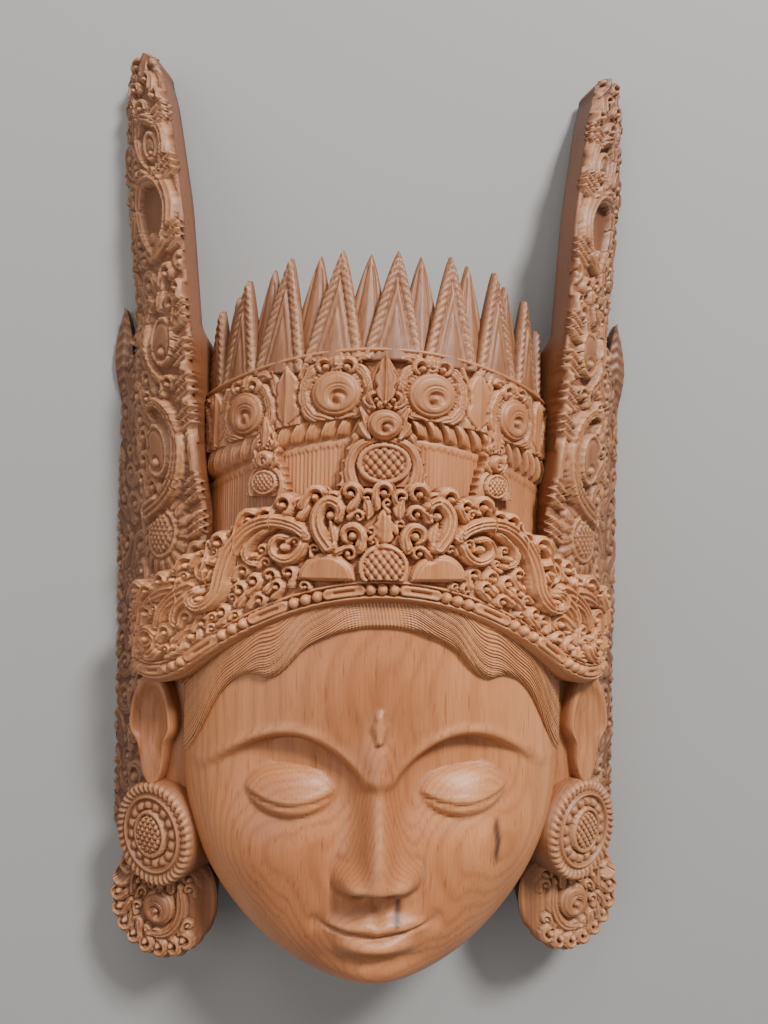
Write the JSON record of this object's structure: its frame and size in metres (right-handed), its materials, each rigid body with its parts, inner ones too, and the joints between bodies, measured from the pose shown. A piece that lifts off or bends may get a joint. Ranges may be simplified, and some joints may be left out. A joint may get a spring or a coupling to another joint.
{
  "type": "carved wooden mask",
  "caption": "Carved wooden wall mask: calm face with closed eyes, combed hair, scrolled diadem, drum crown with leaf spikes, tall side horns and large earrings; hollow back.",
  "frame": {"origin": "middle of the bounding box on the back plane, where the rim rests", "axes": "+X to the right seen from the front, +Y from the chin to the horn tips, +Z out of the face"},
  "size_m": [0.299, 0.49, 0.1202],
  "materials": {
    "carved_wood": "satin oiled hardwood, carved, darker in the cuts, a little dust on the ledges"
  },
  "bodies": {
    "root": {"mask": "carved_wood"}
  },
  "joints": []
}
